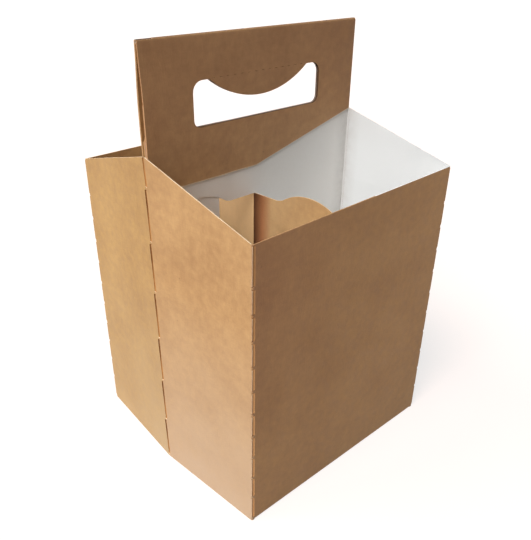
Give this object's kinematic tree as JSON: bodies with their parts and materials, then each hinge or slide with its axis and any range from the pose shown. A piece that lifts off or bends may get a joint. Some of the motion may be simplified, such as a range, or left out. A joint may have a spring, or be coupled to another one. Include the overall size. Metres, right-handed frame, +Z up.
{
  "type": "bottle carrier",
  "caption": "Folded paperboard bottle carrier with open cells, swung divider straps and a central handle with a rounded hand hole.",
  "frame": {"origin": "middle of the base, on the surface it stands on", "axes": "+X along the handle towards the drawn-in end, +Y from the front panel to the back panel, +Z up"},
  "size_m": [0.1368, 0.1292, 0.2195],
  "materials": {
    "kraft_board": "matte uncoated kraft, white inside"
  },
  "bodies": {
    "root": {"carrier": "kraft_board"}
  },
  "joints": []
}
